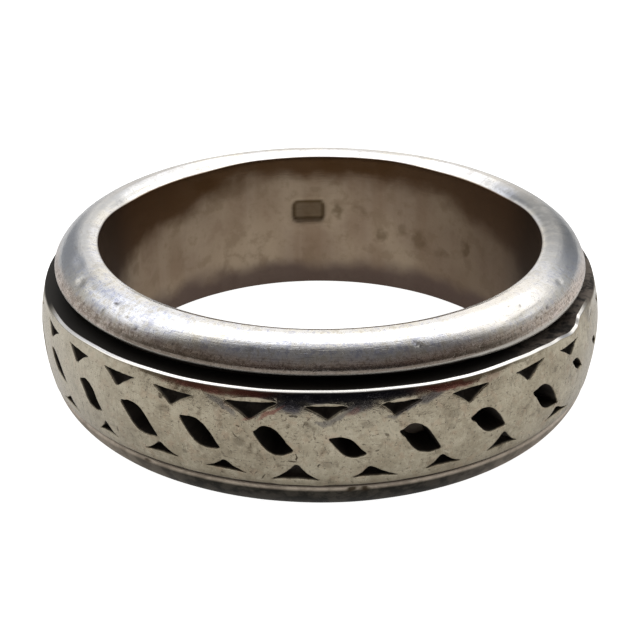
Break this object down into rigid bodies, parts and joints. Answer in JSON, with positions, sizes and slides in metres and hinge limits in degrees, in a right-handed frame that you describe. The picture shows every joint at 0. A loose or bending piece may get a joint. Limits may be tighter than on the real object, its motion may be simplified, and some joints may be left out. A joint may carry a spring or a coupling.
{
  "type": "spinner ring",
  "caption": "Wide finger ring whose pierced, domed outer band turns freely on a flared core band; lies on its side.",
  "frame": {"origin": "on the finger's axis, at the level of the bottom rim, which rests on the surface", "axes": "+Z along the finger's axis, out through the narrower top rim; -Y is the side that faces the picture's camera"},
  "size_m": [0.0242, 0.0242, 0.0071],
  "materials": {
    "core_silver": "worn polished silver, brown tarnish in the finger hole and black in the groove",
    "spinner_silver": "matt tumbled silver, blackened in the cuts, polished on its top edge"
  },
  "bodies": {
    "core": {"core_band": "core_silver"},
    "spinner": {"spinner_band": "spinner_silver"}
  },
  "joints": [
    {"name": "spinner_turn", "type": "hinge", "parent": "core", "child": "spinner", "pos_m": [0, 0, 0.00358], "axis": [0, 0, 1], "continuous": true}
  ]
}
